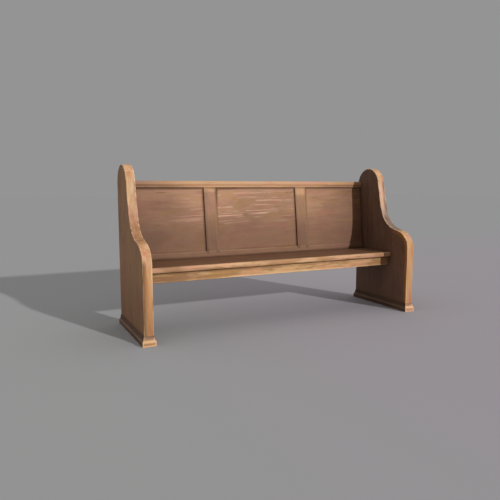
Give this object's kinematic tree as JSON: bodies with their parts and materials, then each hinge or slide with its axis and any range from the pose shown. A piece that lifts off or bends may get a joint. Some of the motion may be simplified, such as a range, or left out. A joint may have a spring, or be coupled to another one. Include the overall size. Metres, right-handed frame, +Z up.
{
  "type": "church pew",
  "caption": "Church pew with tall shaped board ends, a flat seat and a leaning panelled back under a moulded cap.",
  "frame": {"origin": "on the floor, midway between the two ends and midway between their front and back edges", "axes": "+X along the pew's length, to the right as seen from in front; -Y is the way a sitter faces; +Z up"},
  "size_m": [2.024, 0.614, 1.05],
  "materials": {
    "wood_end": "stained and waxed, upright grain, satin, worn pale along the edges",
    "wood_foot": "stained and waxed, rubbed pale on the band's upper edge",
    "wood_rail": "stained and waxed, grain along each piece, rubbed pale on the arrises",
    "wood_panel": "stained and waxed, lengthwise grain, satin",
    "wood_seat": "darker, polished by use, rubbed pale along the front edge",
    "wood_plain": "unfinished sawn softwood",
    "steel": "dull slotted screw heads"
  },
  "bodies": {
    "root": {"end_left_board_front": "wood_end", "end_left_board_middle": "wood_end", "end_left_board_back": "wood_end", "end_left_tongue_front": "wood_plain", "end_left_tongue_back": "wood_plain", "end_right_board_front": "wood_end", "end_right_board_middle": "wood_end", "end_right_board_back": "wood_end", "end_right_tongue_front": "wood_plain", "end_right_tongue_back": "wood_plain", "foot_left_front": "wood_foot", "foot_left_back": "wood_foot", "foot_left_outer": "wood_foot", "foot_left_inner": "wood_foot", "foot_right_front": "wood_foot", "foot_right_back": "wood_foot", "foot_right_outer": "wood_foot", "foot_right_inner": "wood_foot", "seat_board_front": "wood_seat", "seat_board_back": "wood_seat", "seat_tongue": "wood_plain", "seat_rail": "wood_rail", "cleat_left": "wood_plain", "cleat_right": "wood_plain", "bearer_left": "wood_plain", "bearer_right": "wood_plain", "back_bottom_rail": "wood_rail", "back_top_rail": "wood_rail", "back_cap": "wood_rail", "back_muntin_left": "wood_rail", "back_muntin_right": "wood_rail", "back_panel_left": "wood_panel", "back_panel_middle": "wood_panel", "back_panel_right": "wood_panel", "cleat_screws": "steel", "seat_screws": "steel", "back_screws": "steel"}
  },
  "joints": []
}
